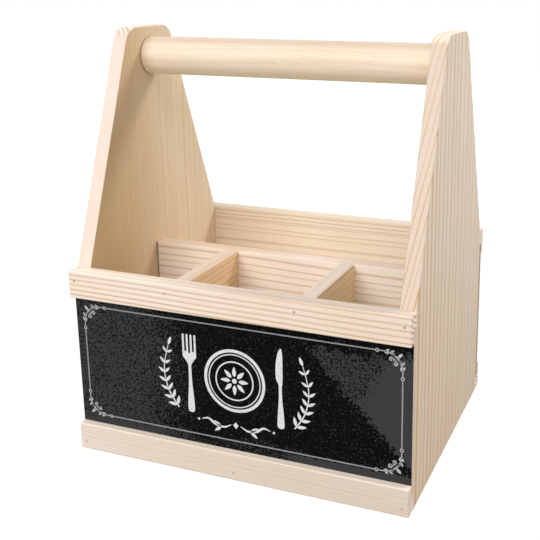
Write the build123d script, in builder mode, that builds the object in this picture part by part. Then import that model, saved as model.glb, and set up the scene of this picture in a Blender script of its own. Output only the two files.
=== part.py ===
"""Open wooden caddy with a round handle.

Two tapered side panels stand on either side of a box. Four rails close the box
at its front and back, thin panels sit in rebates behind the rails, one board
divides the box lengthwise and two short boards divide its front half again.

Frame: +X to the right seen from the front, +Y to the back, +Z up.
The origin is under the middle of the caddy, on the surface that it stands on.
"""

import os

from build123d import *

# Overall sizes, in millimetres
overall_width = 250.0
overall_depth = 205.0
overall_height = 300.0
box_height = 137.0

# Boards
side_thickness = 11.0
side_top_width = 56.0
side_corner_radius = 14.0
base_thickness = 11.0
divider_thickness = 11.0
divider_drop = 5.3
cross_divider_offset = 47.5

# Rails, and the thin panels in their rebates
rail_thickness = 11.0
rail_height = 20.0
rebate_height = 9.0
panel_thickness = 5.0

# Handle
handle_diameter = 28.0
handle_drop = 21.5
socket_depth = 5.0

# Brads
nail_length = 25.0
nail_shank_diameter = 1.4
nail_head_diameter = 1.8
nail_head_height = 0.8
nail_sink = 0.15
top_nail_drop = 7.0
rail_nail_inset = 4.5
divider_nail_height = 84.0

# Clearances and eased edges
panel_play = 0.2
board_play = 0.2
divider_play = 0.3
socket_play = 0.1
nail_play = 0.05
rail_ease = 1.2
board_ease = 0.6

# Places that several boards share
outer_x = overall_width / 2
inner_x = outer_x - side_thickness
outer_y = overall_depth / 2
inner_y = outer_y - rail_thickness
rebate_depth = panel_thickness + panel_play
upper_rail_bottom = box_height - rail_height
panel_bottom = rail_height - rebate_height + panel_play
panel_top = upper_rail_bottom + rebate_height - panel_play
divider_top = box_height - divider_drop
handle_height = overall_height - handle_drop
sides = {"left": -1, "right": 1}
faces_of_box = {"front": -1, "back": 1}

os.makedirs("parts", exist_ok=True)


def write_piece(builder, name):
    """Labels a finished piece and writes it under its own name."""
    builder.part.label = name
    export_step(builder.part, f"parts/{name}.step")


def seats_on_rail(face, places):
    """Planes on the outer face of a front (-1) or back (1) rail, facing outward."""
    return [
        Plane(origin=(x, face * outer_y, z), x_dir=(1, 0, 0), z_dir=(0, face, 0))
        for x, z in places
    ]


def seats_on_sides(height):
    """Planes in the middle of both side panels' outer faces, facing outward."""
    return [
        Plane(origin=(side * outer_x, 0, height), x_dir=(0, 1, 0), z_dir=(side, 0, 0))
        for side in sides.values()
    ]


# Where the brads go, one group of seats for each board that they hold
rail_end_x = outer_x - rail_nail_inset
top_nail_height = box_height - top_nail_drop
base_nail_height = base_thickness / 2
rail_ends = [-rail_end_x, rail_end_x]
crossings = [-cross_divider_offset, cross_divider_offset]
nail_seats = {
    "front_top_rail_nails": seats_on_rail(-1, [(x, top_nail_height) for x in rail_ends + crossings]),
    "front_bottom_rail_nails": seats_on_rail(-1, [(x, base_nail_height) for x in rail_ends + [0]]),
    "back_top_rail_nails": seats_on_rail(1, [(x, top_nail_height) for x in rail_ends]),
    "back_bottom_rail_nails": seats_on_rail(1, [(x, base_nail_height) for x in rail_ends + [0]]),
    "divider_nails": seats_on_sides(divider_nail_height),
    "handle_nails": seats_on_sides(handle_height),
}

# The stepped holes that the brads leave, cut from every board that they reach
with BuildPart() as nail_holes:
    every_seat = [seat for seats in nail_seats.values() for seat in seats]
    with BuildSketch(*every_seat):
        Circle(nail_head_diameter / 2 + nail_play)
    extrude(amount=-(nail_sink + nail_head_height + nail_play))
    with BuildSketch(*every_seat):
        Circle(nail_shank_diameter / 2 + nail_play)
    extrude(amount=-(nail_sink + nail_length + nail_play))

# Base, between the side panels and the lower rails
with BuildPart() as base_board:
    with BuildSketch():
        Rectangle(2 * (inner_x - board_play), 2 * (inner_y - board_play))
    extrude(amount=base_thickness)
    add(nail_holes.part, mode=Mode.SUBTRACT)

write_piece(base_board, "base_board")

# Side panels: straight beside the box, tapering to a rounded top
for side_name, side in sides.items():
    with BuildPart() as side_panel:
        with BuildSketch(Plane.YZ.offset(min(side * outer_x, side * inner_x))):
            with BuildLine():
                Polyline(
                    (-inner_y, 0),
                    (inner_y, 0),
                    (inner_y, box_height),
                    (side_top_width / 2, overall_height),
                    (-side_top_width / 2, overall_height),
                    (-inner_y, box_height),
                    close=True,
                )
            make_face()
            fillet(vertices().group_by(Axis.Y)[-1], side_corner_radius)
        extrude(amount=side_thickness)
        along_outline = edges() - edges().filter_by(Axis.X)
        fillet(along_outline.filter_by(lambda edge: edge.center().Z > box_height), board_ease)
        with BuildSketch(Plane.YZ.offset(side * inner_x)):
            with Locations((0, handle_height)):
                Circle(handle_diameter / 2 + socket_play)
        extrude(amount=side * socket_depth, mode=Mode.SUBTRACT)
        add(nail_holes.part, mode=Mode.SUBTRACT)

    write_piece(side_panel, f"side_panel_{side_name}")

# Rails: the upper ones are rebated at their lower inner corner, the lower ones
# at their upper inner corner
for face_name, face in faces_of_box.items():
    for level, bottom, rebate_bottom in (
        ("top", upper_rail_bottom, upper_rail_bottom),
        ("bottom", 0, rail_height - rebate_height),
    ):
        with BuildPart() as rail:
            with Locations((0, face * outer_y, bottom)):
                Box(
                    overall_width,
                    rail_thickness,
                    rail_height,
                    align=(Align.CENTER, Align.MIN if face < 0 else Align.MAX, Align.MIN),
                )
            outward = 0 if face < 0 else -1
            fillet(faces().sort_by(Axis.Y)[outward].edges().filter_by(Axis.X), rail_ease)
            fillet(faces().sort_by(Axis.Y)[outward].edges().filter_by(Axis.Z), board_ease)
            with Locations((0, face * inner_y, rebate_bottom)):
                Box(
                    overall_width,
                    rebate_depth,
                    rebate_height,
                    align=(Align.CENTER, Align.MAX if face < 0 else Align.MIN, Align.MIN),
                    mode=Mode.SUBTRACT,
                )
            add(nail_holes.part, mode=Mode.SUBTRACT)

        write_piece(rail, f"{face_name}_{level}_rail")

# Thin panels, held in the rebates against the edges of the side panels
for name, face in (("front_sign_panel", -1), ("back_panel", 1)):
    with BuildPart() as panel:
        with BuildSketch(Plane.XZ.offset(-face * inner_y)):
            with Locations((0, (panel_bottom + panel_top) / 2)):
                Rectangle(overall_width, panel_top - panel_bottom)
        extrude(amount=-face * panel_thickness)

    write_piece(panel, name)

# Lengthwise divider, standing on the base between the side panels
with BuildPart() as lengthwise_divider:
    with BuildSketch(Plane.XY.offset(base_thickness)):
        Rectangle(2 * (inner_x - divider_play), divider_thickness)
    extrude(amount=divider_top - base_thickness)
    fillet(edges().group_by(Axis.Z)[-1].filter_by(Axis.X), board_ease)
    add(nail_holes.part, mode=Mode.SUBTRACT)

write_piece(lengthwise_divider, "lengthwise_divider")

# Cross dividers, from the front rail back to the lengthwise divider
for side_name, side in sides.items():
    with BuildPart() as cross_divider:
        with BuildSketch(Plane.XY.offset(base_thickness)):
            with Locations((side * cross_divider_offset, -divider_thickness / 2)):
                Rectangle(
                    divider_thickness,
                    inner_y - board_play - divider_thickness / 2,
                    align=(Align.CENTER, Align.MAX),
                )
        extrude(amount=divider_top - base_thickness)
        fillet(edges().group_by(Axis.Z)[-1].filter_by(Axis.Y), board_ease)
        add(nail_holes.part, mode=Mode.SUBTRACT)

    write_piece(cross_divider, f"cross_divider_{side_name}")

# Handle, its ends in the sockets of the side panels
handle_reach = inner_x + socket_depth - socket_play
with BuildPart() as handle_dowel:
    with BuildSketch(Plane.YZ.offset(-handle_reach)):
        with Locations((0, handle_height)):
            Circle(handle_diameter / 2)
    extrude(amount=2 * handle_reach)
    chamfer(edges().filter_by(GeomType.CIRCLE), board_ease)
    add(nail_holes.part, mode=Mode.SUBTRACT)

write_piece(handle_dowel, "handle_dowel")

# Brads with small round heads, sunk a little below the wood
for name, seats in nail_seats.items():
    with BuildPart() as nails:
        with BuildSketch(*[seat.offset(-nail_sink) for seat in seats]):
            Circle(nail_head_diameter / 2)
        extrude(amount=-nail_head_height)
        with BuildSketch(*[seat.offset(-nail_sink) for seat in seats]):
            Circle(nail_shank_diameter / 2)
        extrude(amount=-nail_length)

    write_piece(nails, name)
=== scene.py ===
# Looks of the divided wooden caddy: bare pine boards, a thin back board and a
# dark sign with a light print. Lengths in this script are millimetres unless a
# name ends in _m. MM turns them into the metres that Blender works in.

import math

import bmesh
import bpy
from mathutils import Matrix, Vector

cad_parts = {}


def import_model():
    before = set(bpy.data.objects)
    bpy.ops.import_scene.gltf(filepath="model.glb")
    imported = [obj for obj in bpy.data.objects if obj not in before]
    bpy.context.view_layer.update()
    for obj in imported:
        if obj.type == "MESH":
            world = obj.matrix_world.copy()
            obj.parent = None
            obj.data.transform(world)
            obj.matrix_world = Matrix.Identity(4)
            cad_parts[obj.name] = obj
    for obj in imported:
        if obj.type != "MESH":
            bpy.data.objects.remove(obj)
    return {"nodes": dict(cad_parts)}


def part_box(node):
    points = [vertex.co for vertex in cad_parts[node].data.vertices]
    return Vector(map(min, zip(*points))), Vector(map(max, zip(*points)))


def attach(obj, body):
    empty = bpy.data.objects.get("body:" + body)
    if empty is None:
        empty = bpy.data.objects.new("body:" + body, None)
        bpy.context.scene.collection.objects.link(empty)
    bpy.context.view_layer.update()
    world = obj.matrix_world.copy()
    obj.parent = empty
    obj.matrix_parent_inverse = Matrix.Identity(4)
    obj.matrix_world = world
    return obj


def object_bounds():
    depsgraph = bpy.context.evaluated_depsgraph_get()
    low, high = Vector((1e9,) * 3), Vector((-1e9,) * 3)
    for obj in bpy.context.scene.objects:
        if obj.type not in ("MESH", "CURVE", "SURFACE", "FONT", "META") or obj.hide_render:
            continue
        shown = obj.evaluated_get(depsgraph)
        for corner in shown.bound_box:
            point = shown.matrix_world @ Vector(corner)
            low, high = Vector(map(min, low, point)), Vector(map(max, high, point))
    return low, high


MM = 0.001
AXES = "XYZ"

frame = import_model()
cad_low, cad_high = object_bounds()
nodes = frame["nodes"]


# Colours

def srgb(red, green, blue):
    """A colour given in 0-255 display values, as the linear values that Blender works in."""
    def linear(value):
        share = value / 255
        return share / 12.92 if share <= 0.04045 else ((share + 0.055) / 1.055) ** 2.4

    return (linear(red), linear(green), linear(blue), 1.0)


# Materials: short calls for the nodes that they are made of

# Places of the two colours and of the result among the sockets of a Mix node
MIX_FIRST = 6
MIX_SECOND = 7
MIX_RESULT = 2

# facing() rises between these values where a rounded edge turns from one side into
# the next: a board's long sides, its ends, and the front of the sign
SIDE_TURN = (0.6, 0.85)
END_TURN = (0.55, 0.85)
FRONT_TURN = (0.5, 0.6)


class Graph:
    """One material and the nodes that give its colour, roughness and bump."""

    def __init__(self, name):
        self.material = bpy.data.materials.new(name)
        self.material.use_nodes = True
        self.nodes = self.material.node_tree.nodes
        self.links = self.material.node_tree.links
        self.shader = self.nodes["Principled BSDF"]

    def put(self, socket, value):
        """Links an output to a socket, or sets the socket to a plain value."""
        if isinstance(value, bpy.types.NodeSocket):
            self.links.new(value, socket)
        else:
            socket.default_value = value

    def math(self, operation, *values):
        node = self.nodes.new("ShaderNodeMath")
        node.operation = operation
        for socket, value in zip(node.inputs, values):
            self.put(socket, value)
        return node.outputs["Value"]

    def add(self, *values):
        total = values[0]
        for value in values[1:]:
            total = self.math("ADD", total, value)
        return total

    def times(self, *values):
        product = values[0]
        for value in values[1:]:
            product = self.math("MULTIPLY", product, value)
        return product

    def rest(self, share):
        """What a share leaves of the whole."""
        return self.math("SUBTRACT", 1.0, share)

    def swing(self, noise, width):
        """Noise from 0 to 1, stretched to the given width and moved to lie about 0."""
        return self.times(self.math("SUBTRACT", noise, 0.5), width)

    def step(self, value, low, high):
        """0 below low and 1 above high, with a smooth rise in between."""
        node = self.nodes.new("ShaderNodeMapRange")
        node.interpolation_type = "SMOOTHSTEP"
        for socket, number in zip(("Value", "From Min", "From Max"), (value, low, high)):
            self.put(node.inputs[socket], number)
        return node.outputs["Result"]

    def spread(self, value, low, high):
        """Stretches a value that runs from 0 to 1 over the range from low to high."""
        node = self.nodes.new("ShaderNodeMapRange")
        for socket, number in zip(("Value", "To Min", "To Max"), (value, low, high)):
            self.put(node.inputs[socket], number)
        return node.outputs["Result"]

    def mix_numbers(self, share, first, second):
        node = self.nodes.new("ShaderNodeMix")
        for socket, value in zip(("Factor", "A", "B"), (share, first, second)):
            self.put(node.inputs[socket], value)
        return node.outputs["Result"]

    def mix(self, share, first, second, blend="MIX"):
        """The first colour, with a share of the second laid over it."""
        node = self.nodes.new("ShaderNodeMix")
        node.data_type = "RGBA"
        node.blend_type = blend
        self.put(node.inputs["Factor"], share)
        self.put(node.inputs[MIX_FIRST], first)
        self.put(node.inputs[MIX_SECOND], second)
        return node.outputs[MIX_RESULT]

    def tint(self, colour, by):
        """The colour, each channel of it times its share."""
        return self.mix(1.0, colour, by, blend="MULTIPLY")

    def coordinate(self, kind):
        """x, y and z of one of Blender's texture coordinates."""
        coordinates = self.nodes.new("ShaderNodeTexCoord")
        parts = self.nodes.new("ShaderNodeSeparateXYZ")
        self.links.new(coordinates.outputs[kind], parts.inputs["Vector"])
        return [parts.outputs[axis] for axis in AXES]

    def place(self):
        """x, y and z in the row frame, in millimetres."""
        return [self.times(value, 1 / MM) for value in self.coordinate("Object")]

    def facing(self, axis):
        """How far the surface looks along an axis of the row frame, from -1 to 1."""
        return self.coordinate("Normal")[AXES.index(axis)]

    def looks(self, axis, sign, turn):
        """1 where the surface looks along an axis, or against it where sign is -1."""
        return self.step(self.times(self.facing(axis), sign), *turn)

    def noise(self, place, sizes, seed, detail=2.0, roughness=0.5):
        """Noise whose spots have about the given sizes along x, y and z. Returns its
        value and three more that don't follow it."""
        joined = self.nodes.new("ShaderNodeCombineXYZ")
        for axis, value, size in zip(AXES, place, sizes):
            self.links.new(self.add(self.times(value, 1 / size), seed), joined.inputs[axis])
        node = self.nodes.new("ShaderNodeTexNoise")
        self.links.new(joined.outputs["Vector"], node.inputs["Vector"])
        for socket, value in zip(("Scale", "Detail", "Roughness"), (1.0, detail, roughness)):
            node.inputs[socket].default_value = value
        colour = self.nodes.new("ShaderNodeSeparateColor")
        self.links.new(node.outputs["Color"], colour.inputs["Color"])
        return node.outputs["Fac"], [colour.outputs[channel] for channel in ("Red", "Green", "Blue")]

    def noise_along(self, value):
        """Smooth noise along one number, with about one rise or fall for each unit."""
        node = self.nodes.new("ShaderNodeTexNoise")
        node.noise_dimensions = "1D"
        node.inputs["Scale"].default_value = 1.0
        node.inputs["Detail"].default_value = 0.0
        self.links.new(value, node.inputs["W"])
        return node.outputs["Fac"]

    def random(self, value, seed):
        """One random number from 0 to 1 for each whole number."""
        node = self.nodes.new("ShaderNodeTexWhiteNoise")
        node.noise_dimensions = "1D"
        self.links.new(self.add(value, seed), node.inputs["W"])
        return node.outputs["Value"]

    def finish(self, colour, roughness, height, depth):
        """Wires the shader. depth is the height of the bump in millimetres."""
        self.put(self.shader.inputs["Base Color"], colour)
        self.put(self.shader.inputs["Roughness"], roughness)
        bump = self.nodes.new("ShaderNodeBump")
        bump.inputs["Distance"].default_value = depth * MM
        self.links.new(height, bump.inputs["Height"])
        self.links.new(bump.outputs["Normal"], self.shader.inputs["Normal"])
        return self.material


# Early tone, late tone and contrast of the end grain of the rails and of the side panels
RAIL_END = (srgb(243, 227, 211), srgb(170, 114, 64), 0.95)
GABLE_END = (srgb(250, 236, 216), srgb(192, 122, 64), 0.90)

# How far the patterns in the wood reach, first across the grain and then along it
BEND_SIZE = (60.0, 170.0)
CLOUD_SIZE = (26.0, 90.0)
FIBRE_SIZE = (0.9, 45.0)
PORE_SIZE = (0.5, 7.0)

# The width of the growth rings changes over about this many rings
RINGS_A_CHANGE = 2.3

# The noise values between which each pattern sets in, and how strongly it shows
CLOUD_ONSET = (0.35, 0.65)
FIBRE_ONSET = (0.45, 0.75)
PORE_ONSET = (0.68, 0.78)
END_PORE_ONSET = (0.5, 0.7)
CLOUD_SHARE = 0.5
FIBRE_SHARE = 0.20
PORE_SHARE = 0.28
END_PORE_SHARE = 0.18

# What the clouds and the fibres leave of each channel of the early wood's colour
CLOUD_TINT = (0.97, 0.93, 0.86, 1)
FIBRE_TINT = (0.74, 0.70, 0.66, 1)

# The least strength of a ring's late wood
PALEST_RING = 0.5

WOOD_ROUGHNESS = (0.48, 0.68)
WOOD_SPECULAR = 0.35
WOOD_RELIEF = 0.05


def toned(g, place, tone):
    """A plain colour, or one that changes from a first to a second between two places
    along an axis."""
    if len(tone) == 4:
        return tone
    axis, start, stop, first, second = tone
    return g.mix(g.step(place[AXES.index(axis)], start, stop), first, second)


def along_grain(along, size):
    """The size of a pattern along x, y and z, from its sizes across and along the grain."""
    across_size, along_size = size
    return [along_size if axis == along else across_size for axis in AXES]


def growth_rings(g, place, along, pith, ring, wobble, lean, irregular, band, seed):
    """The dark late wood at the end of each growth ring, as a share from 0 to 1, and
    how dark it is, which differs from ring to ring."""
    length = place[AXES.index(along)]
    across = [value for axis, value in zip(AXES, place) if axis != along]
    _, bends = g.noise(place, along_grain(along, BEND_SIZE), seed, detail=1.0)
    offsets = []
    for value, centre, slope, bend in zip(across, pith, lean, bends):
        centred = g.math("SUBTRACT", value, centre)
        offsets.append(g.add(centred, g.times(length, slope), g.swing(bend, 2 * wobble)))
    radius = g.math("SQRT", g.add(*(g.times(offset, offset) for offset in offsets)))

    slow = g.noise_along(g.add(g.times(radius, 1 / (RINGS_A_CHANGE * ring)), 5.3 * seed))
    number = g.add(g.times(radius, 1 / ring), g.swing(slow, 2 * irregular))
    through = g.math("FRACT", number)
    late_wood = g.times(g.step(through, *band), g.rest(g.step(through, band[1], 1.0)))
    strength = g.spread(g.random(g.math("FLOOR", number), 3.1 * seed), PALEST_RING, 1.0)
    return late_wood, strength


def wood(name, along, pith, ring, early, late, contrast, wobble, seed, lean=(0.0, 0.0),
         irregular=0.5, streaks=1.0, band=(0.45, 0.88), crisp=1.0, end=RAIL_END, faces=(),
         fade=None):
    """Planed pine. The growth rings are tubes round the pith, which lies along one axis
    at the given place across it, so a board's faces and its end grain belong together.

    ring is the width of a growth ring and band the part of it in which the late wood
    darkens. lean moves the pith across for each millimetre along it, wobble bends it,
    and irregular makes the rings' widths differ. streaks strengthens the fibres and the
    pores. end gives the end grain's early tone, late tone and contrast. faces lists an
    axis and sign, the two tones of the faces that look that way, and their share of
    the contrast. crisp is the power that thins the lines on all other faces. fade is an
    axis, two places along it and the share of the contrast that is left at the second."""
    g = Graph(name)
    place = g.place()
    late_wood, strength = growth_rings(g, place, along, pith, ring, wobble, lean, irregular, band, seed)
    if crisp != 1.0:
        power = crisp
        for axis, sign, *_ in faces:
            power = g.mix_numbers(g.looks(axis, sign, SIDE_TURN), power, 1.0)
        late_wood = g.math("POWER", late_wood, power)
    line = g.times(late_wood, strength)

    # Fibres, short pores and slow changes of tone, each with its own multiple of the seed
    fibres, _ = g.noise(place, along_grain(along, FIBRE_SIZE), 7.0 * seed, detail=3.0, roughness=0.6)
    pores, _ = g.noise(place, along_grain(along, PORE_SIZE), 11.0 * seed, detail=1.0)
    clouds, tones = g.noise(place, along_grain(along, CLOUD_SIZE), 13.0 * seed)
    dashes = g.step(pores, *PORE_ONSET)

    early = toned(g, place, early)
    for axis, sign, early_tone, late_tone, share in faces:
        looks = g.looks(axis, sign, SIDE_TURN)
        early = g.mix(looks, early, toned(g, place, early_tone))
        late = g.mix(looks, late, late_tone)
        contrast = g.times(contrast, g.spread(looks, 1.0, share))
    if fade is not None:
        axis, start, stop, share = fade
        contrast = g.times(contrast, g.spread(g.step(place[AXES.index(axis)], start, stop), 1.0, share))

    cloudy = g.times(g.step(clouds, *CLOUD_ONSET), CLOUD_SHARE)
    warm = g.mix(cloudy, early, g.tint(early, CLOUD_TINT))
    ringed = g.mix(g.times(line, contrast), warm, late)
    fibrous = g.times(g.step(fibres, *FIBRE_ONSET), FIBRE_SHARE * streaks)
    streaked = g.mix(fibrous, ringed, g.tint(early, FIBRE_TINT))
    dashed = g.mix(g.times(dashes, PORE_SHARE * streaks), streaked, late)

    # End grain, where the surface looks along the board
    end_early, end_late, end_contrast = end
    end_grain = g.mix(g.times(line, end_contrast), end_early, end_late)
    end_pores = g.times(g.step(pores, *END_PORE_ONSET), END_PORE_SHARE)
    end_grain = g.mix(end_pores, end_grain, end_late)
    colour = g.mix(g.step(g.math("ABSOLUTE", g.facing(along)), *END_TURN), dashed, end_grain)

    height = g.add(g.times(line, 0.5), g.times(fibres, 0.5), g.times(dashes, -0.3))
    roughness = g.spread(g.add(g.times(fibres, 0.6), g.times(tones[0], 0.4)), *WOOD_ROUGHNESS)
    g.shader.inputs["Specular IOR Level"].default_value = WOOD_SPECULAR
    return g.finish(colour, roughness, height, WOOD_RELIEF)


# Where the print of the sign is worn grey. Each pair bounds a soft edge of a worn
# patch: x at the left, z at the foot, x + z along the slanted side of the wedge at the
# right, z at its top, a slanted x where it turns smooth, and z and x of a smooth strip
WORN_LEFT = (-80.0, -18.0)
WORN_FOOT = (23.0, 30.0)
WEDGE_SLANT = (154.0, 160.0)
WEDGE_TOP = (103.0, 110.0)
WEDGE_SMOOTH = (44.0, 56.0)
STRIP_TOP = (24.0, 26.0)
STRIP_LEFT = (30.0, 60.0)
PRINT_BLACK = srgb(7, 7, 8)
PRINT_GREY = srgb(60, 60, 62)


def sign_board():
    """A thin pale board whose front is printed black and worn to dark grey."""
    g = Graph("sign_board")
    place = g.place()
    x, _, z = place
    _, drift = g.noise(place, [26.0] * 3, 4.0, detail=4.0, roughness=0.65)
    wander = [g.swing(value, 70.0) for value in drift]
    _, ragged = g.noise(place, [6.0] * 3, 2.0, detail=5.0, roughness=0.7)
    tears = [g.swing(value, 34.0) for value in ragged]

    # Much grey shows at the left, less along the foot and least in the middle
    left = g.rest(g.step(g.add(x, wander[0]), *WORN_LEFT))
    low = g.rest(g.step(g.add(z, g.times(wander[2], 0.4)), *WORN_FOOT))

    # The grey at the right is a wedge with ragged edges, smooth at its wide end
    wedge = g.times(
        g.step(g.add(x, z, g.times(wander[1], 0.3), tears[0]), *WEDGE_SLANT),
        g.rest(g.step(g.add(z, tears[1]), *WEDGE_TOP)),
    )
    across_wedge = g.step(g.add(x, g.times(z, -0.6), tears[2]), *WEDGE_SMOOTH)
    smooth = g.times(wedge, g.spread(across_wedge, 0.55, 1.6))

    # A smooth strip under the border, towards the right
    strip = g.times(
        g.rest(g.step(g.add(z, g.times(tears[0], 0.12)), *STRIP_TOP)),
        g.step(g.add(x, tears[2]), *STRIP_LEFT),
    )
    worn = g.add(0.05, g.times(left, 0.58), g.times(low, 0.30), smooth, g.times(strip, 1.2))
    specks, _ = g.noise(place, [1.25] * 3, 9.0, roughness=0.6)
    grey = g.step(g.math("SUBTRACT", worn, g.spread(specks, -1.15, 2.15)), -0.12, 0.12)
    ink = g.mix(grey, PRINT_BLACK, PRINT_GREY)

    fibres, _ = g.noise(place, (18.0, 0.8, 0.8), 2.0, detail=3.0)
    board = g.mix(g.step(fibres, 0.35, 0.7), srgb(232, 211, 190), srgb(206, 180, 150))
    ahead = g.looks("Y", -1, FRONT_TURN)
    colour = g.mix(ahead, board, ink)
    roughness = g.mix_numbers(ahead, 0.7, g.mix_numbers(grey, 0.5, 0.62))
    g.shader.inputs["Specular IOR Level"].default_value = 0.03
    return g.finish(colour, roughness, g.add(g.times(specks, 0.4), g.times(grey, 0.3)), 0.03)


def print_ink(name, colour):
    """A pale layer of screen print, slightly uneven and rubbed."""
    g = Graph(name)
    cover, _ = g.noise(g.place(), [2.2] * 3, 6.0, detail=3.0, roughness=0.6)
    rubbed = tuple(value * 0.72 for value in colour[:3]) + (1.0,)
    tone = g.mix(g.step(cover, 0.52, 0.75), colour, rubbed)
    g.shader.inputs["Specular IOR Level"].default_value = 0.25
    return g.finish(tone, g.spread(cover, 0.45, 0.7), cover, 0.02)


def brad_steel(name, light, dark):
    """Dull steel of small nail heads, stained by the wood round them."""
    g = Graph(name)
    spots, _ = g.noise(g.place(), [0.8] * 3, 3.0, detail=3.0)
    g.shader.inputs["Metallic"].default_value = 0.35
    return g.finish(g.mix(spots, light, dark), g.spread(spots, 0.4, 0.7), spots, 0.03)


# The boards: along which axis each was sawn, where its pith lies across that axis,
# the width of its growth rings and its tones. Four values after an axis are two places
# along it and the tones at these places

CREAM = srgb(250, 231, 214)
HONEY = srgb(214, 160, 108)
TAN = srgb(198, 158, 112)
TOP_GREY = srgb(230, 211, 193)
GABLE_CREAM = srgb(240, 220, 207)

left_end = cad_low[0] / MM
right_end = cad_high[0] / MM
top_end = cad_high[2] / MM
inner_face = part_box("side_panel_left")[1].x / MM

# Painted shade: the handle and the divider are darker where they meet the left side panel, standing in
# for the shade in the joint
DOWEL_SEAT_SHADE = (inner_face, inner_face + 1.6, srgb(166, 128, 86))
DIVIDER_SEAT_SHADE = (inner_face + 0.4, inner_face + 1.6, srgb(120, 92, 66))

boards = {
    "front_top_rail": dict(
        along="X", pith=(-86, 157), ring=3.3,
        early=("X", left_end, right_end, srgb(247, 231, 217), srgb(237, 220, 204)),
        late=srgb(206, 156, 102), contrast=0.85, wobble=2.2, lean=(0.0, 0.012),
        irregular=0.2, seed=1.0,
        # Painted light and shade: the top is lighter at the left end and darker towards the right, where
        # it tones down the highlight on the rounded edge
        faces=[("Z", 1, ("X", left_end, 70, srgb(255, 245, 233), srgb(232, 216, 202)), HONEY, 0.45)],
    ),
    "front_bottom_rail": dict(
        along="X", pith=(-60, -70), ring=2.3,
        early=("X", left_end, right_end, srgb(239, 224, 210), srgb(226, 210, 194)),
        late=TAN, contrast=0.30, wobble=1.5, seed=2.0,
        # Painted light: the narrow top of the lower rail under the sign is made pale, as if lit from
        # above
        faces=[("Z", 1, srgb(255, 240, 224), HONEY, 0.5)],
    ),
    "back_top_rail": dict(
        along="X", pith=(60, 190), ring=3.6, early=srgb(252, 240, 224),
        late=srgb(204, 150, 94), contrast=0.75, wobble=2.0, seed=3.0, band=(0.55, 0.9),
    ),
    "back_bottom_rail": dict(
        along="X", pith=(60, -60), ring=3.6, early=CREAM, late=TAN,
        contrast=0.6, wobble=2.0, seed=4.0,
    ),
    "side_panel_left": dict(
        along="Z", pith=(-320, -210), ring=3.6, early=GABLE_CREAM, late=HONEY,
        contrast=0.50, wobble=3.0, irregular=1.0, streaks=1.7, seed=5.0, end=GABLE_END,
        # The inner face darkens towards the front: partly the board's own tone, partly painted shade
        # below and in front of the handle
        faces=[("X", 1, ("Y", -75.0, 55.0, srgb(202, 173, 129), srgb(246, 225, 194)),
                srgb(208, 158, 100), 0.6),
               ("X", -1, srgb(240, 222, 200), srgb(206, 162, 108), 0.9),
               ("Y", -1, GABLE_CREAM, HONEY, 0.15)],
    ),
    "side_panel_right": dict(
        along="Z", pith=(-1138, 455), ring=3.6, early=srgb(222, 205, 188),
        late=srgb(206, 146, 80), contrast=1.0, wobble=1.2, irregular=0.25, seed=6.0,
        band=(0.54, 0.93), crisp=2.6, end=GABLE_END,
        # Painted shade: the outer face darkens towards the bottom
        faces=[("X", 1, ("Z", 0.0, top_end, srgb(219, 199, 175), srgb(237, 220, 201)),
                srgb(200, 158, 100), 1.25)],
        fade=("Y", -90.0, 70.0, 0.40),
    ),
    "lengthwise_divider": dict(
        # Painted shade: the divider's early tone darkens in a thin band where it meets the left side
        # panel
        along="X", pith=(-40, 190), ring=5.2, early=("X", *DIVIDER_SEAT_SHADE, srgb(255, 244, 231)),
        late=srgb(204, 144, 80), contrast=0.80, wobble=3.0, lean=(0.0, 0.015),
        seed=7.0, band=(0.62, 0.93),
        faces=[("Z", 1, ("X", -60.0, 40.0, srgb(226, 205, 184), srgb(242, 224, 208)), HONEY, 0.5)],
    ),
    "cross_divider_left": dict(
        along="Y", pith=(-20, 60), ring=4.5, early=CREAM, late=TAN,
        contrast=0.65, wobble=2.0, seed=8.0,
        # The side that looks right is a deep orange tan: partly the wood's own tone, partly painted warm
        # light thrown back inside the cell
        faces=[("X", 1, srgb(246, 213, 168), TAN, 1.0), ("Z", 1, TOP_GREY, TAN, 0.5)],
    ),
    "cross_divider_right": dict(
        along="Y", pith=(90, 170), ring=4.0, early=CREAM, late=TAN,
        contrast=0.65, wobble=2.0, seed=9.0,
        # Painted light: the side that looks right is made very pale, to stand in for light that the
        # right side panel keeps out of this narrow cell
        faces=[("X", 1, srgb(255, 236, 194), srgb(206, 146, 84), 0.6),
               ("Z", 1, srgb(244, 228, 216), TAN, 0.5)],
    ),
    "base_board": dict(
        along="X", pith=(10, -120), ring=4.0, early=CREAM, late=TAN,
        contrast=0.6, wobble=4.0, seed=10.0,
    ),
    "back_panel": dict(
        along="X", pith=(-60, -40), ring=4.6, early=srgb(252, 239, 220),
        late=srgb(206, 152, 96), contrast=0.50, wobble=2.5, irregular=0.9, seed=11.0,
        # Painted shade: the end grain is dark, standing in for the shadow in the gap between the back
        # panel and the rails
        band=(0.6, 0.9), end=(srgb(158, 130, 98), srgb(112, 86, 60), 0.6),
    ),
    "handle_dowel": dict(
        # Painted shade: the handle is darker in the first 1.6 mm out of its socket in the left side
        # panel
        along="X", pith=(30, 310), ring=7.0, early=("X", *DOWEL_SEAT_SHADE, srgb(243, 225, 202)),
        late=srgb(206, 160, 108), contrast=0.24, wobble=2.5, streaks=2.1, seed=12.0,
        # Painted light and shade: the underside is made paler and the top darker, to even out the
        # handle's shading
        faces=[("Z", -1, ("X", *DOWEL_SEAT_SHADE, srgb(255, 246, 212)), HONEY, 1.0),
               ("Z", 1, ("X", *DOWEL_SEAT_SHADE, srgb(226, 206, 184)), HONEY, 1.0)],
    ),
}


def dress(node, material):
    """Gives a CAD node its material."""
    nodes[node].data.materials.clear()
    nodes[node].data.materials.append(material)


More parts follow.
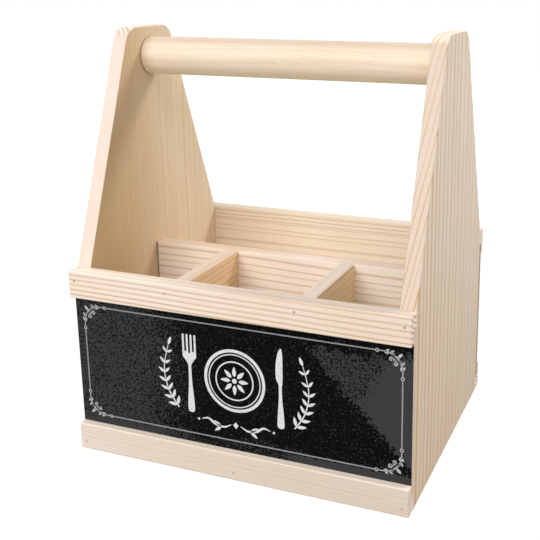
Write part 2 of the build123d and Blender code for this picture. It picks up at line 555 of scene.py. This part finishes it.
for name, parameters in boards.items():
    dress(name, wood(f"pine_{name}", **parameters))
dress("front_sign_panel", sign_board())
dark_brads = brad_steel("brad_steel", srgb(206, 174, 134), srgb(176, 142, 104))
pale_brads = brad_steel("brad_steel_pale", srgb(214, 190, 164), srgb(184, 156, 128))
for name in nodes:
    if name.endswith("_nails"):
        faint = name in ("front_bottom_rail_nails", "divider_nails")
        dress(name, pale_brads if faint else dark_brads)


# The print on the sign: thin closed layers of ink, drawn in u to the right and v up,
# from the middle of the face that shows between the rails

PRINT_THICKNESS = 0.08
PRINT_SUNK = 0.02

sign_low, sign_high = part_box("front_sign_panel")
shown_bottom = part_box("front_bottom_rail")[1].z / MM
shown_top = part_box("front_top_rail")[0].z / MM
half_width = (sign_high.x - sign_low.x) / 2 / MM
half_height = (shown_top - shown_bottom) / 2
middle_height = (shown_top + shown_bottom) / 2
face_y = sign_low.y / MM


def turned(points, angle=0.0, move=(0.0, 0.0)):
    """The points turned by an angle in degrees, then moved."""
    c, s = math.cos(math.radians(angle)), math.sin(math.radians(angle))
    return [(u * c - v * s + move[0], u * s + v * c + move[1]) for u, v in points]


def arc(centre, radius, start, stop, steps):
    """Points along an arc, from one angle in degrees to another."""
    angles = (math.radians(start + (stop - start) * i / steps) for i in range(steps + 1))
    return [(centre[0] + radius * math.cos(a), centre[1] + radius * math.sin(a)) for a in angles]


def curve_through(points, steps=8, closed=False):
    """A smooth line through a few points."""
    count = len(points)
    spans = count if closed else count - 1
    line = []
    for i in range(spans):
        if closed:
            a, b, c, d = (points[(i + k) % count] for k in (-1, 0, 1, 2))
        else:
            a, b, c, d = (points[min(max(i + k, 0), count - 1)] for k in (-1, 0, 1, 2))
        for step in range(steps):
            t = step / steps
            line.append(tuple(
                0.5 * (2 * q + (r - p) * t + (2 * p - 5 * q + 4 * r - s) * t * t
                       + (3 * q - p - 3 * r + s) * t ** 3)
                for p, q, r, s in zip(a, b, c, d)
            ))
    if not closed:
        line.append(points[-1])
    return line


def leaf(tip, widest, half_width, start=0.0):
    """Outline of a leaf along u, from its start to its tip. widest is the place of its
    largest width."""
    corners = [(start, 0.0), (widest, half_width), (tip, 0.0), (widest, -half_width)]
    return curve_through(corners, steps=5, closed=True)


def beside(points, sign):
    """The points, mirrored left to right where sign is -1."""
    return [(sign * u, v) for u, v in points]


def taper(path, first, last):
    """One width for each point of a path, from the first and evenly towards the last."""
    return [first + (last - first) * i / len(path) for i in range(len(path))]


def ribbon(path, widths):
    """The two sides of a line of changing width, for strip()."""
    sides = ([], [])
    for i, point in enumerate(path):
        before, after = path[max(i - 1, 0)], path[min(i + 1, len(path) - 1)]
        du, dv = after[0] - before[0], after[1] - before[1]
        reach = math.hypot(du, dv)
        for side, sign in zip(sides, (-0.5, 0.5)):
            shift = sign * widths[i] / reach
            side.append((point[0] - shift * dv, point[1] + shift * du))
    return sides


class Ink:
    """Collects the shapes of one printed object."""

    def __init__(self, name, material):
        self.name = name
        self.material = material
        self.mesh = bmesh.new()

    def layer(self, points, y):
        """Vertices at the given points, all at the same depth."""
        return [self.mesh.verts.new((u * MM, y * MM, (middle_height + v) * MM)) for u, v in points]

    def both(self, points):
        """Vertices at the back and at the front of the layer of ink."""
        back_y = face_y + PRINT_SUNK
        return self.layer(points, back_y), self.layer(points, back_y - PRINT_THICKNESS)

    def wall(self, inner, outer):
        """Faces between two closed rings of vertices."""
        for i in range(len(inner)):
            k = (i + 1) % len(inner)
            self.mesh.faces.new((inner[i], inner[k], outer[k], outer[i]))

    def shape(self, outline):
        """A filled outline."""
        back, front = self.both(outline)
        self.wall(back, front)
        for ring in (back, front):
            self.mesh.faces.new(ring)

    def strip(self, sides):
        """An open line of changing width."""
        count = len(sides[0])
        back, front = self.both(sides[0] + sides[1][::-1])
        self.wall(back, front)
        for ring in (back, front):
            for i in range(count - 1):
                across = 2 * count - 1 - i
                self.mesh.faces.new((ring[i], ring[i + 1], ring[across - 1], ring[across]))

    def loop(self, outline, inner):
        """A band between an outline and a smaller one with as many points."""
        back_out, front_out = self.both(outline)
        back_in, front_in = self.both(inner)
        self.wall(back_out, front_out)
        self.wall(back_in, front_in)
        for out, hole in ((back_out, back_in), (front_out, front_in)):
            self.wall(out, hole)

    def circle(self, centre, radius, width=None, steps=32):
        """A filled circle, or a ring of the given width inside the radius."""
        outline = arc(centre, radius, 0, 360, steps)[:-1]
        if width is None:
            self.shape(outline)
        else:
            self.loop(outline, arc(centre, radius - width, 0, 360, steps)[:-1])

    def finish(self):
        """Makes the object, which rides with the caddy."""
        bmesh.ops.recalc_face_normals(self.mesh, faces=self.mesh.faces)
        bmesh.ops.triangulate(self.mesh, faces=[face for face in self.mesh.faces if len(face.verts) > 4])
        data = bpy.data.meshes.new(self.name)
        self.mesh.to_mesh(data)
        self.mesh.free()
        data.materials.append(self.material)
        piece = bpy.data.objects.new(self.name, data)
        bpy.context.scene.collection.objects.link(piece)
        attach(piece, "root")


# The border: four lines that end in rings, and an ornament in each corner

BORDER_INSET = 6.8
BORDER_LINE = 0.9
CORNER_REACH = 17.0
RING_SIZE = 1.3
RING_LINE = 0.6

border = Ink("sign_border", print_ink("print_border", srgb(150, 150, 152)))
edge_u = half_width - BORDER_INSET
edge_v = half_height - BORDER_INSET
reach_u = edge_u - CORNER_REACH - RING_SIZE
reach_v = edge_v - CORNER_REACH - RING_SIZE
for sign in (-1, 1):
    border.strip(ribbon([(-reach_u, sign * edge_v), (reach_u, sign * edge_v)], [BORDER_LINE] * 2))
    border.strip(ribbon([(sign * edge_u, -reach_v), (sign * edge_u, reach_v)], [BORDER_LINE] * 2))
border.finish()

# The corner's ornament is drawn along one leg and again, mirrored, along the other. Its
# places are distances from the corner, first along the leg and then across it
STEM = [(CORNER_REACH - RING_SIZE, 0.0), (11.0, 0.1), (7.0, 1.4), (3.6, 3.6)]
EYE_PLACE = (7.6, 4.6)
EYE_SIZE = 1.5
EYE_DOT = 0.5
BUD = [(3.8, 3.8), (1.1, 2.6), (0.3, 0.3), (2.6, 1.1)]

# Place, heading in degrees and length of each leaf
CORNER_LEAVES = (
    ((12.6, 0.1), 152, 3.6),
    ((11.8, 0.0), 206, 3.4),
    ((8.6, 0.9), 214, 3.6),
    ((4.8, 2.6), -38, 3.4),
    ((5.2, 4.4), 36, 2.6),
)


def at_corner(points, corner, swapped=False):
    """Points of the ornament, put at the corner with the given signs of u and v, along
    its other leg if swapped."""
    legs = [(v, u) for u, v in points] if swapped else points
    return [(corner[0] * (edge_u - u), corner[1] * (edge_v - v)) for u, v in legs]


def corner_leg(ink, corner, swapped):
    """A ring where the border's line ends, a stem with leaves, and an eye beside it."""
    ring_centre, eye = at_corner([(CORNER_REACH, 0.0), EYE_PLACE], corner, swapped)
    ink.circle(ring_centre, RING_SIZE, RING_LINE, steps=20)
    stem = at_corner(curve_through(STEM, steps=6), corner, swapped)
    ink.strip(ribbon(stem, taper(stem, 0.5, 1.3)))
    ink.circle(eye, EYE_SIZE, RING_LINE, steps=20)
    ink.circle(eye, EYE_DOT, steps=12)
    for place, heading, length in CORNER_LEAVES:
        blade = turned(leaf(length, 0.45 * length, 0.2 * length), heading, place)
        ink.shape(at_corner(blade, corner, swapped))


ornament = Ink("sign_corners", print_ink("print_corners", srgb(186, 186, 188)))
for corner in ((-1, -1), (-1, 1), (1, -1), (1, 1)):
    for swapped in (False, True):
        corner_leg(ornament, corner, swapped)
    ornament.shape(at_corner(curve_through(BUD, steps=5, closed=True), corner))
ornament.finish()


# The motif in the middle: a plate between a fork, a knife and two sprigs of leaves

CUTLERY_BOTTOM = -29.0
CUTLERY_TOP = 29.0
CUTLERY_OFFSET = 34.0
NECK_HALF = 1.1
PLATE_CENTRE = (0.0, 3.0)
PLATE_RADIUS = 23.0
SPRIG = [(44.0, -24.0), (51.5, -12.0), (54.5, 4.0), (50.5, 22.0)]
FLOURISH_HEIGHT = -30.0
DIAMOND = [(0.0, -2.6), (2.0, 0.0), (0.0, 2.6), (-2.0, 0.0)]
WAVE = [(3.6, 0.0), (9.0, -2.6), (15.5, -1.6), (21.0, 1.8), (26.0, 0.6)]


def mirrored(half):
    """An outline from its right half, listed upwards along the side."""
    return half + [(-u, v) for u, v in reversed(half) if u > 1e-6]


def handle_side(bottom, neck):
    """Right side of a tapered cutlery handle, from its round foot to its slim neck."""
    span = neck - bottom
    return curve_through([
        (0.0, bottom), (1.9, bottom + 0.6), (2.6, bottom + 0.09 * span), (2.3, bottom + 0.30 * span),
        (1.3, bottom + 0.68 * span), (NECK_HALF, neck),
    ], steps=6)


def fork(bottom, neck, top):
    """Outline of a fork with four round-tipped tines."""
    tine, gap, root = 1.5, 1.5, neck + 10.0
    tip_radius, gap_radius = tine / 2, gap / 2
    head = 2 * tine + 1.5 * gap
    shoulder = curve_through([(NECK_HALF, neck + 1.0), (2.2, neck + 3.5), (head, neck + 7.5)], steps=5)
    # The gaps between the tines end in a small dome at the sides and a hollow in the middle
    outer_tip = arc((head - tip_radius, top - tip_radius), tip_radius, 0, 180, 8)
    side_gap = arc((head - tine - gap_radius, root + gap_radius), gap_radius, 0, 180, 8)
    inner_tip = arc((head - tine - gap - tip_radius, top - tip_radius), tip_radius, 0, 180, 8)
    middle_gap = arc((0.0, root + gap_radius), gap_radius, 0, -90, 4)
    tines = [(head, root)] + outer_tip + side_gap + inner_tip + middle_gap
    return mirrored(handle_side(bottom, neck) + shoulder + tines)


def knife(bottom, neck, top):
    """Outline of a table knife, its edge to the left."""
    right = handle_side(bottom, neck)
    blade = curve_through([
        (1.6, neck + 1.5), (1.9, top - 12.0), (1.7, top - 3.0), (0.6, top), (-1.6, top - 4.0),
        (-3.0, top - 12.0), (-3.1, neck + 6.0), (-1.3, neck + 1.5),
    ], steps=6)
    left = [(-u, v) for u, v in reversed(right[1:])]
    return right + blade + left


motif = Ink("sign_motif", print_ink("print_motif", srgb(224, 224, 226)))
motif.circle(PLATE_CENTRE, PLATE_RADIUS, 2.2, steps=72)
motif.circle(PLATE_CENTRE, PLATE_RADIUS - 3.4, 0.8, steps=72)
motif.circle(PLATE_CENTRE, PLATE_RADIUS - 8.6, 1.0, steps=56)
cutlery = (
    (-CUTLERY_OFFSET, fork(CUTLERY_BOTTOM, 5.0, CUTLERY_TOP)),
    (CUTLERY_OFFSET, knife(CUTLERY_BOTTOM, 2.0, CUTLERY_TOP)),
)
for place, outline in cutlery:
    motif.shape(turned(outline, move=(place, PLATE_CENTRE[1])))

# Inside the plate, a ring of small leaves round a dot
for i in range(8):
    motif.shape(turned(leaf(10.4, 6.0, -1.5, start=3.2), angle=90 + 45 * i, move=PLATE_CENTRE))
motif.circle(PLATE_CENTRE, 1.8, steps=24)

# A sprig of leaves on either side, opening upwards, its leaves smaller towards its tip
for sign in (-1, 1):
    stem = curve_through(SPRIG, steps=10)
    motif.strip(ribbon(beside(stem, sign), taper(stem, 1.1, 0.5)))
    for i in range(2, len(stem) - 1, 4):
        here, ahead = stem[i], stem[i + 1]
        heading = math.degrees(math.atan2(ahead[1] - here[1], ahead[0] - here[0]))
        length = 7.6 - 0.09 * i
        blade = leaf(length, 0.45 * length, 0.17 * length, start=0.5)
        for tilt in (-48, 48):
            motif.shape(beside(turned(blade, heading + tilt, here), sign))
    motif.shape(beside(turned(leaf(6.6, 3.0, 1.2, start=0.3), 112, stem[-1]), sign))

# Under the plate, a flourish: two slender waves that run out from a diamond
motif.shape(turned(DIAMOND, move=(0.0, FLOURISH_HEIGHT)))
for sign in (-1, 1):
    wave = turned(curve_through(WAVE, steps=8), move=(0.0, FLOURISH_HEIGHT))
    span = len(wave) - 1
    widths = [0.4 + 1.4 * math.sin(math.pi * i / span) for i in range(span + 1)]
    motif.strip(ribbon(beside(wave, sign), widths))
    for angle in (-38, 30):
        blade = turned(leaf(6.8, 3.0, 1.2, start=0.3), angle, (11.0, FLOURISH_HEIGHT - 2.6))
        motif.shape(beside(blade, sign))
    motif.circle((sign * 28.6, FLOURISH_HEIGHT), 0.9, steps=16)
motif.finish()


# Floor, light and camera

LAMP_TARGET = (0.0, 0.0, 140.0)


def seen_directly(tree):
    """1 for what the camera sees itself or in a gloss, 0 for what only lights other things."""
    rays = tree.nodes.new("ShaderNodeLightPath")
    either = tree.nodes.new("ShaderNodeMath")
    either.operation = "MAXIMUM"
    tree.links.new(rays.outputs["Is Camera Ray"], either.inputs[0])
    tree.links.new(rays.outputs["Is Glossy Ray"], either.inputs[1])
    return either.outputs[0]


def pale_floor():
    """White ground that keeps the caddy's shadow close to it. The camera sees it glow.
    For the light that it throws back at the caddy it is a plain grey."""
    glow_near, glow_far = 0.84, 1.0
    near_m, far_m = 0.3, 0.8
    material = bpy.data.materials.new("floor")
    material.use_nodes = True
    tree = material.node_tree
    tree.nodes.clear()
    output = tree.nodes.new("ShaderNodeOutputMaterial")
    plain = tree.nodes.new("ShaderNodeBsdfDiffuse")
    plain.inputs["Color"].default_value = (0.50, 0.50, 0.50, 1)
    seen = tree.nodes.new("ShaderNodeBsdfDiffuse")
    seen.inputs["Color"].default_value = (0.22, 0.22, 0.22, 1)
    glow = tree.nodes.new("ShaderNodeEmission")
    coordinates = tree.nodes.new("ShaderNodeTexCoord")
    reach = tree.nodes.new("ShaderNodeVectorMath")
    reach.operation = "LENGTH"
    tree.links.new(coordinates.outputs["Object"], reach.inputs[0])
    level = tree.nodes.new("ShaderNodeMapRange")
    level_sockets = ("From Min", "From Max", "To Min", "To Max")
    for socket, value in zip(level_sockets, (near_m, far_m, glow_near, glow_far)):
        level.inputs[socket].default_value = value
    tree.links.new(reach.outputs["Value"], level.inputs["Value"])
    tree.links.new(level.outputs["Result"], glow.inputs["Strength"])
    both = tree.nodes.new("ShaderNodeAddShader")
    tree.links.new(seen.outputs[0], both.inputs[0])
    tree.links.new(glow.outputs[0], both.inputs[1])
    choice = tree.nodes.new("ShaderNodeMixShader")
    tree.links.new(seen_directly(tree), choice.inputs[0])
    tree.links.new(plain.outputs[0], choice.inputs[1])
    tree.links.new(both.outputs[0], choice.inputs[2])
    tree.links.new(choice.outputs[0], output.inputs["Surface"])
    return material


def floor():
    """A wide round floor, a hair below the caddy's underside."""
    radius_m = 2.5
    drop_m = 0.0002
    mesh = bmesh.new()
    bmesh.ops.create_circle(mesh, cap_ends=True, segments=64, radius=radius_m)
    data = bpy.data.meshes.new("floor")
    mesh.to_mesh(data)
    mesh.free()
    data.materials.append(pale_floor())
    piece = bpy.data.objects.new("floor", data)
    piece.location.z = -drop_m
    bpy.context.scene.collection.objects.link(piece)


def world(strength):
    """Even pale surroundings, seen as white."""
    surroundings = bpy.data.worlds.new("studio")
    bpy.context.scene.world = surroundings
    surroundings.use_nodes = True
    tree = surroundings.node_tree
    light = tree.nodes["Background"]
    light.inputs["Color"].default_value = (1, 1, 1, 1)
    light.inputs["Strength"].default_value = strength
    seen = tree.nodes.new("ShaderNodeBackground")
    seen.inputs["Color"].default_value = (1, 1, 1, 1)
    choice = tree.nodes.new("ShaderNodeMixShader")
    tree.links.new(seen_directly(tree), choice.inputs[0])
    tree.links.new(light.outputs[0], choice.inputs[1])
    tree.links.new(seen.outputs[0], choice.inputs[2])
    tree.links.new(choice.outputs[0], tree.nodes["World Output"].inputs["Surface"])


def lamp(name, place_m, size_m, power):
    """A square soft light aimed at the caddy. power is in watts."""
    data = bpy.data.lights.new(name, "AREA")
    data.size = size_m
    data.energy = power
    piece = bpy.data.objects.new(name, data)
    piece.location = place_m
    aim = Vector(LAMP_TARGET) * MM - Vector(place_m)
    piece.rotation_euler = aim.to_track_quat("-Z", "Y").to_euler()
    bpy.context.scene.collection.objects.link(piece)


def camera():
    """A slightly shifted lens, as the photograph's upright edges need. Its place and
    angles were worked out from the caddy's corners in the 540-pixel photograph."""
    picture = 540
    focal_pixels = 897.0
    centre_x, centre_y = 334.8, 189.0
    nearest_m, farthest_m = 0.05, 60.0
    place = Vector((264.7, -591.1, 342.2)) * MM
    azimuth, elevation, roll = (math.radians(angle) for angle in (21.15, 13.86, -0.28))
    back = Vector((math.sin(azimuth) * math.cos(elevation), -math.cos(azimuth) * math.cos(elevation),
                   math.sin(elevation)))
    level = Vector((math.cos(azimuth), math.sin(azimuth), 0.0))
    upright = back.cross(level)
    right = math.cos(roll) * level + math.sin(roll) * upright
    up = math.cos(roll) * upright - math.sin(roll) * level
    data = bpy.data.cameras.new("camera")
    data.sensor_width = 36.0
    data.lens = focal_pixels * data.sensor_width / picture
    data.shift_x = (picture / 2 - centre_x) / picture
    data.shift_y = (centre_y - picture / 2) / picture
    data.clip_start = nearest_m
    data.clip_end = farthest_m
    piece = bpy.data.objects.new("camera", data)
    bpy.context.scene.collection.objects.link(piece)
    turn = Matrix((right, up, back)).transposed().to_4x4()
    piece.matrix_world = Matrix.Translation(place) @ turn
    bpy.context.scene.camera = piece


floor()
world(strength=0.47)
lamp("key", place_m=(-0.7, -2.4, 1.7), size_m=1.5, power=47)
lamp("back_right", place_m=(1.7, 1.4, 1.75), size_m=0.6, power=26)
lamp("fill", place_m=(0.9, -1.3, 2.0), size_m=0.9, power=11)
camera()

scene = bpy.context.scene
scene.view_settings.view_transform = "Standard"
